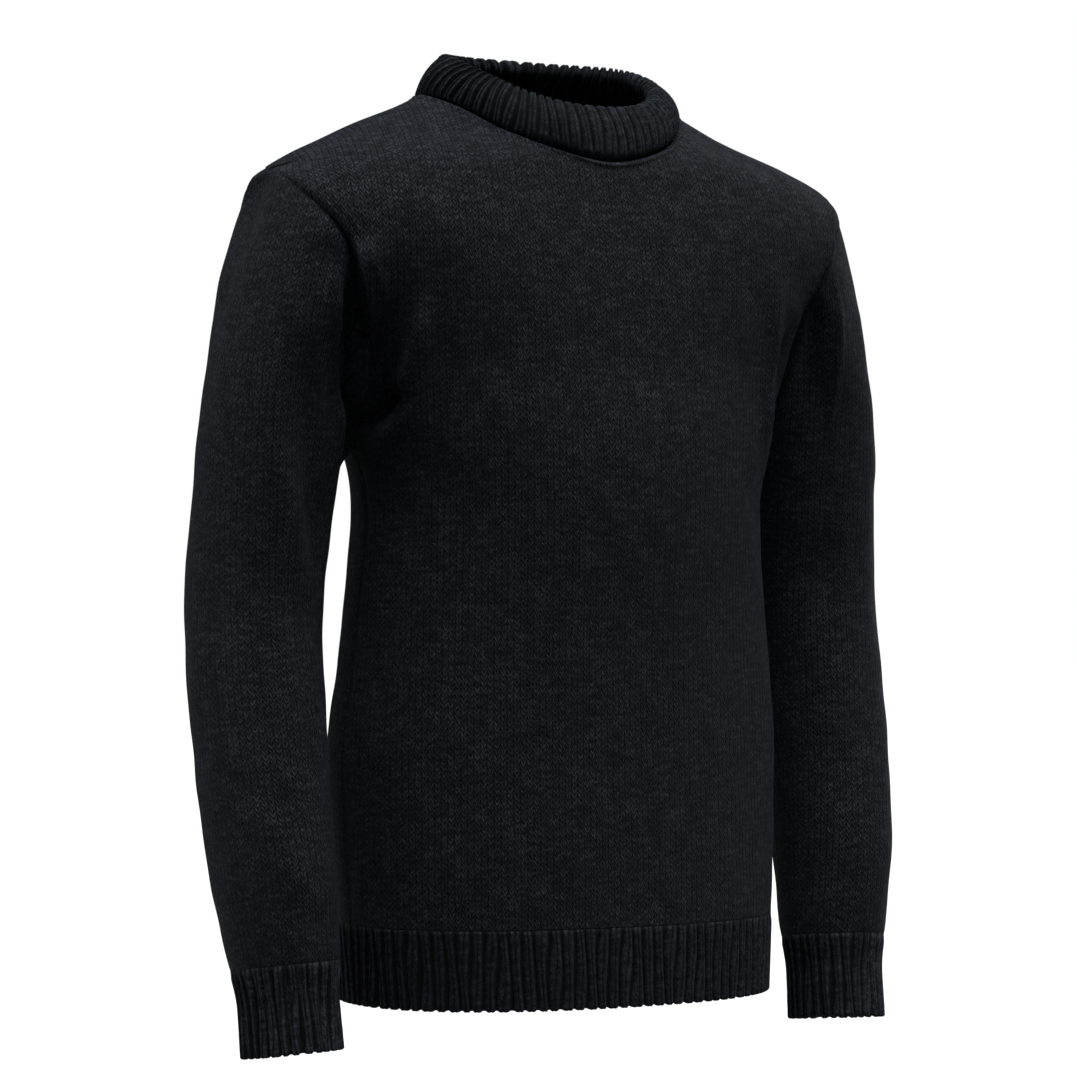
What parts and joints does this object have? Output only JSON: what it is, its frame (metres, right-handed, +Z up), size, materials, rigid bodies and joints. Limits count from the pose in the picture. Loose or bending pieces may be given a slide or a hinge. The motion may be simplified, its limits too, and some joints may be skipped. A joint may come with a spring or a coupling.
{
  "type": "crewneck sweater",
  "caption": "Heavy-knit crewneck sweater with long sleeves, filled out as worn but empty, with ribbed collar, hem and cuffs.",
  "frame": {"origin": "middle of the neck hole, level with the points where the shoulder seams meet the collar, where a wearer's neck and shoulders hold the sweater", "axes": "+Z up, -Y the front of the sweater, +X the wearer's left"},
  "size_m": [0.577, 0.2389, 0.737],
  "materials": {
    "knit": "matte charcoal wool, stocking stitch",
    "rib": "matte charcoal wool, 1x1 rib"
  },
  "bodies": {
    "root": {"front": "knit", "back": "knit", "sleeve_left": "knit", "sleeve_right": "knit", "collar": "rib", "hem_front": "rib", "hem_back": "rib", "cuff_left": "rib", "cuff_right": "rib"}
  },
  "joints": []
}
